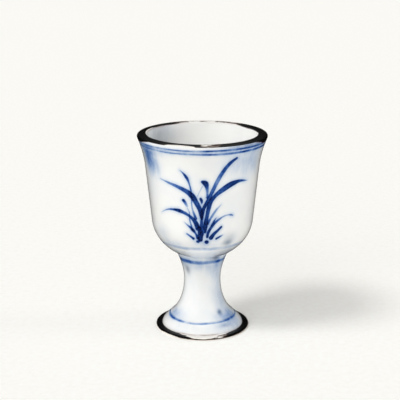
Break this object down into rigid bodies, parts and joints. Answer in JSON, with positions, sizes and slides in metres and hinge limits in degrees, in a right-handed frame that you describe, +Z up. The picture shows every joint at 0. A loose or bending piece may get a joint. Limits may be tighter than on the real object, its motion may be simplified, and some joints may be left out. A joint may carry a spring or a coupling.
{
  "type": "stem cup",
  "caption": "Porcelain stem cup: deep bowl with an everted, dark-dressed lip, luted to a hollow waisted stem on a spreading disc foot, for drinking or offering.",
  "frame": {"origin": "centre of the standing ring, on the surface that the cup stands on", "axes": "+Z up along the axis that every piece is turned about; the painted side of the bowl faces -Y"},
  "size_m": [0.066, 0.066, 0.103],
  "materials": {
    "porcelain": "glossy clear glaze on white porcelain, painted in cobalt blue",
    "slip": "fired porcelain slip",
    "iron_dressing": "brush-dressed iron brown-black, satin"
  },
  "bodies": {
    "root": {"bowl": "porcelain", "lip_dressing": "iron_dressing", "bowl_slip": "slip", "stem": "porcelain", "foot_slip": "slip", "foot": "porcelain", "foot_dressing": "iron_dressing"}
  },
  "joints": []
}
